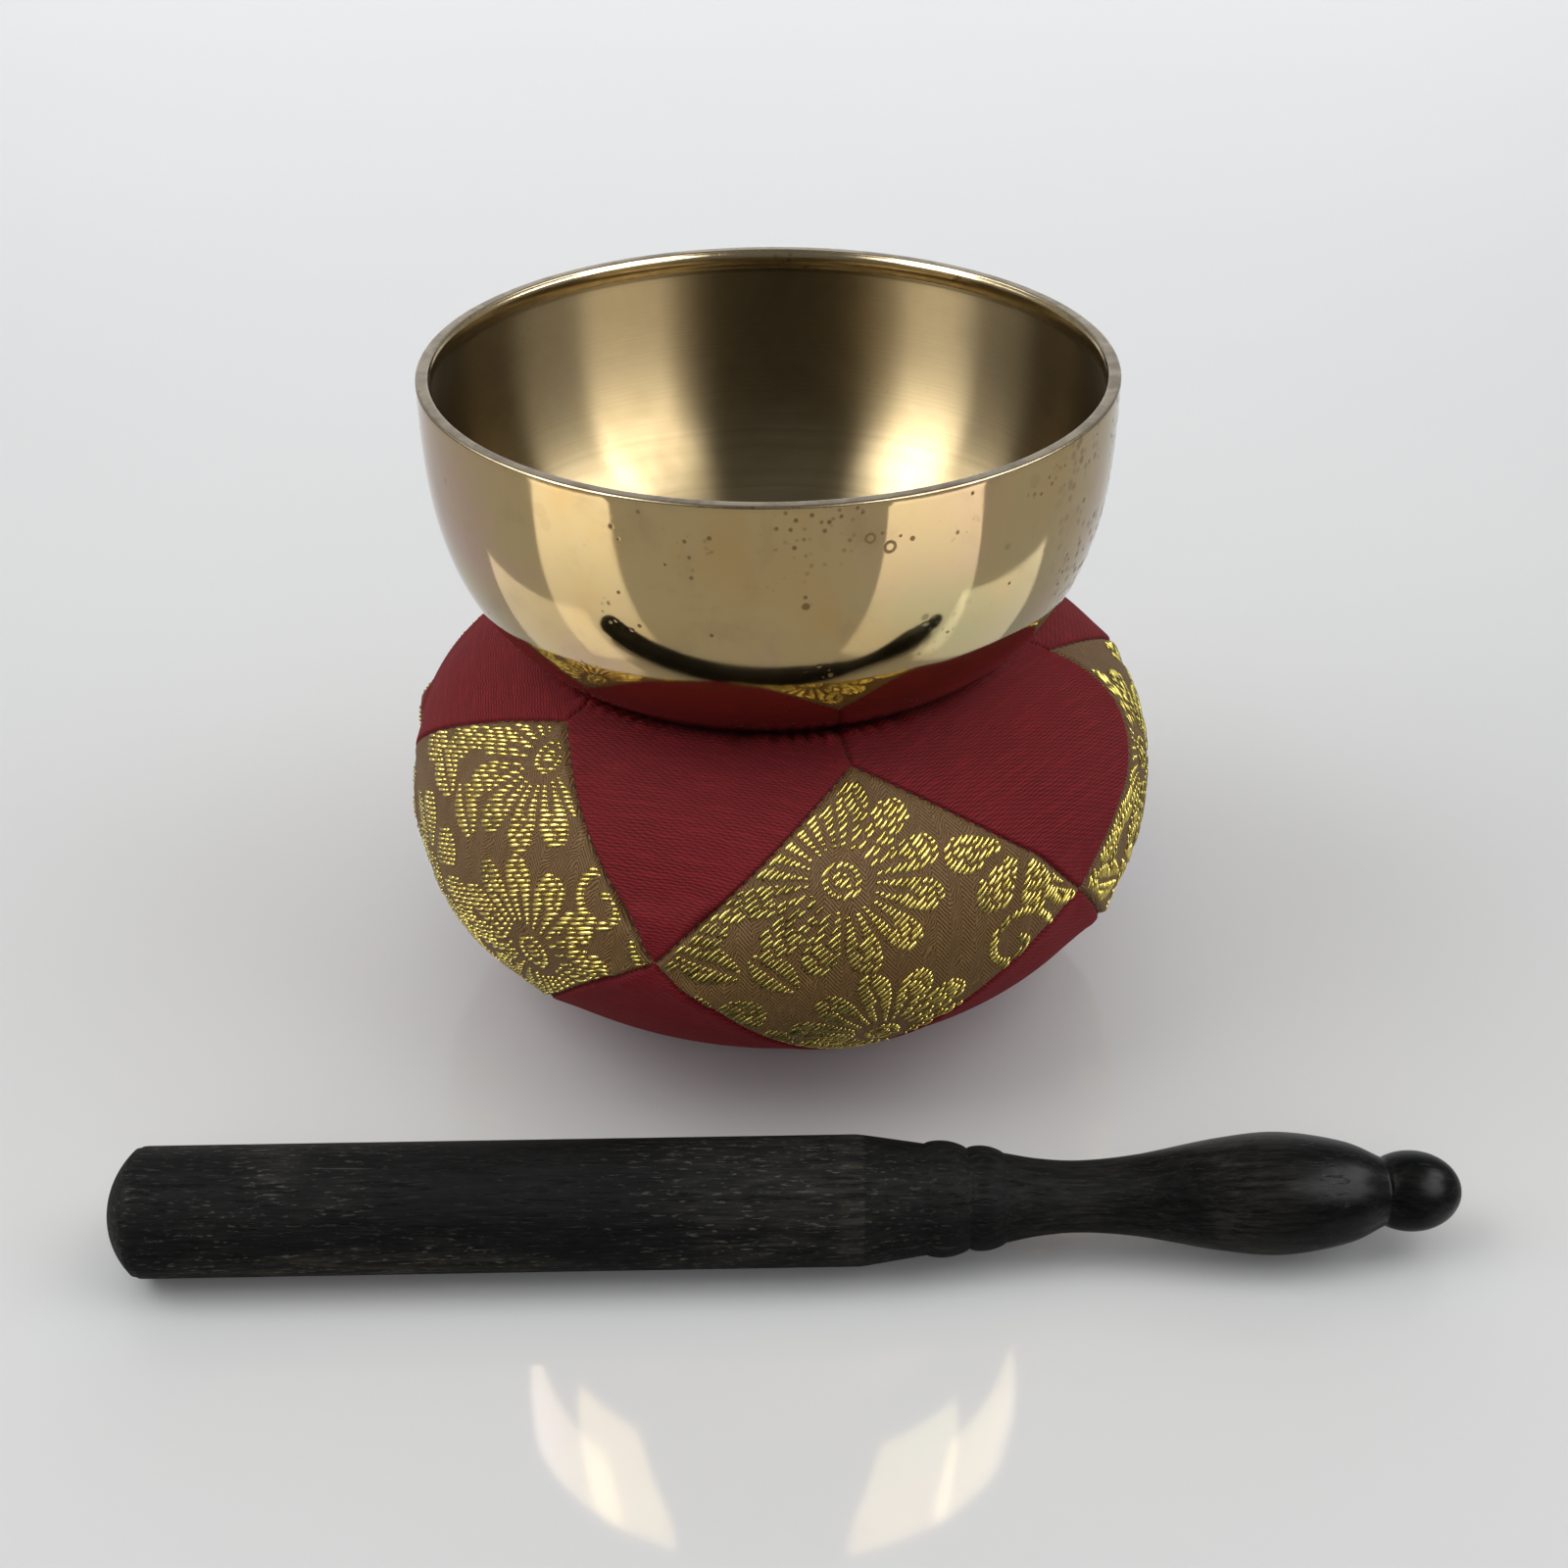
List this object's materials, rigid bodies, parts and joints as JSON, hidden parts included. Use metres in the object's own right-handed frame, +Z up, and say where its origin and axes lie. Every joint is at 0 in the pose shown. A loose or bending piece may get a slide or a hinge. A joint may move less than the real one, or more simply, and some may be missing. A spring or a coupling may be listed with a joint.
{
  "type": "singing bowl",
  "caption": "Polished bronze bell bowl resting in the dent of a round red and gold patchwork cushion, with a turned black wooden striker lying in front.",
  "frame": {"origin": "centre of the cushion's flat base, on the table", "axes": "+Z up, out of the cushion towards the bowl's mouth; the striker lies along X on the -Y side, its ball end towards +X"},
  "size_m": [0.1649, 0.1299, 0.09],
  "materials": {
    "bronze": "mirror polished outside, turned satin inside, slight tarnish",
    "red_cloth": "crimson ribbed weave",
    "gold_brocade": "tan twill ground with metallic gold floats",
    "stuffing": "packed cotton wadding",
    "thread": "dark waxed sewing thread",
    "black_wood": "black stain, worn at the ends"
  },
  "bodies": {
    "cushion": {"top_panel_1": "red_cloth", "brocade_panel_1": "gold_brocade", "bottom_panel_1": "red_cloth", "top_panel_2": "red_cloth", "brocade_panel_2": "gold_brocade", "bottom_panel_2": "red_cloth", "top_panel_3": "red_cloth", "brocade_panel_3": "gold_brocade", "bottom_panel_3": "red_cloth", "top_panel_4": "red_cloth", "brocade_panel_4": "gold_brocade", "bottom_panel_4": "red_cloth", "top_panel_5": "red_cloth", "brocade_panel_5": "gold_brocade", "bottom_panel_5": "red_cloth", "cushion_filling": "stuffing", "tie_thread": "thread"},
    "bowl": {"bowl": "bronze"},
    "striker": {"striker": "black_wood"}
  },
  "joints": [
    {"name": "bowl_lift", "type": "slide", "parent": "cushion", "child": "bowl", "axis": [0, 0, 1], "range_m": [0, 0.06]},
    {"name": "striker_lift", "type": "slide", "parent": "cushion", "child": "striker", "axis": [0, 0, 1], "range_m": [0, 0.1]}
  ]
}
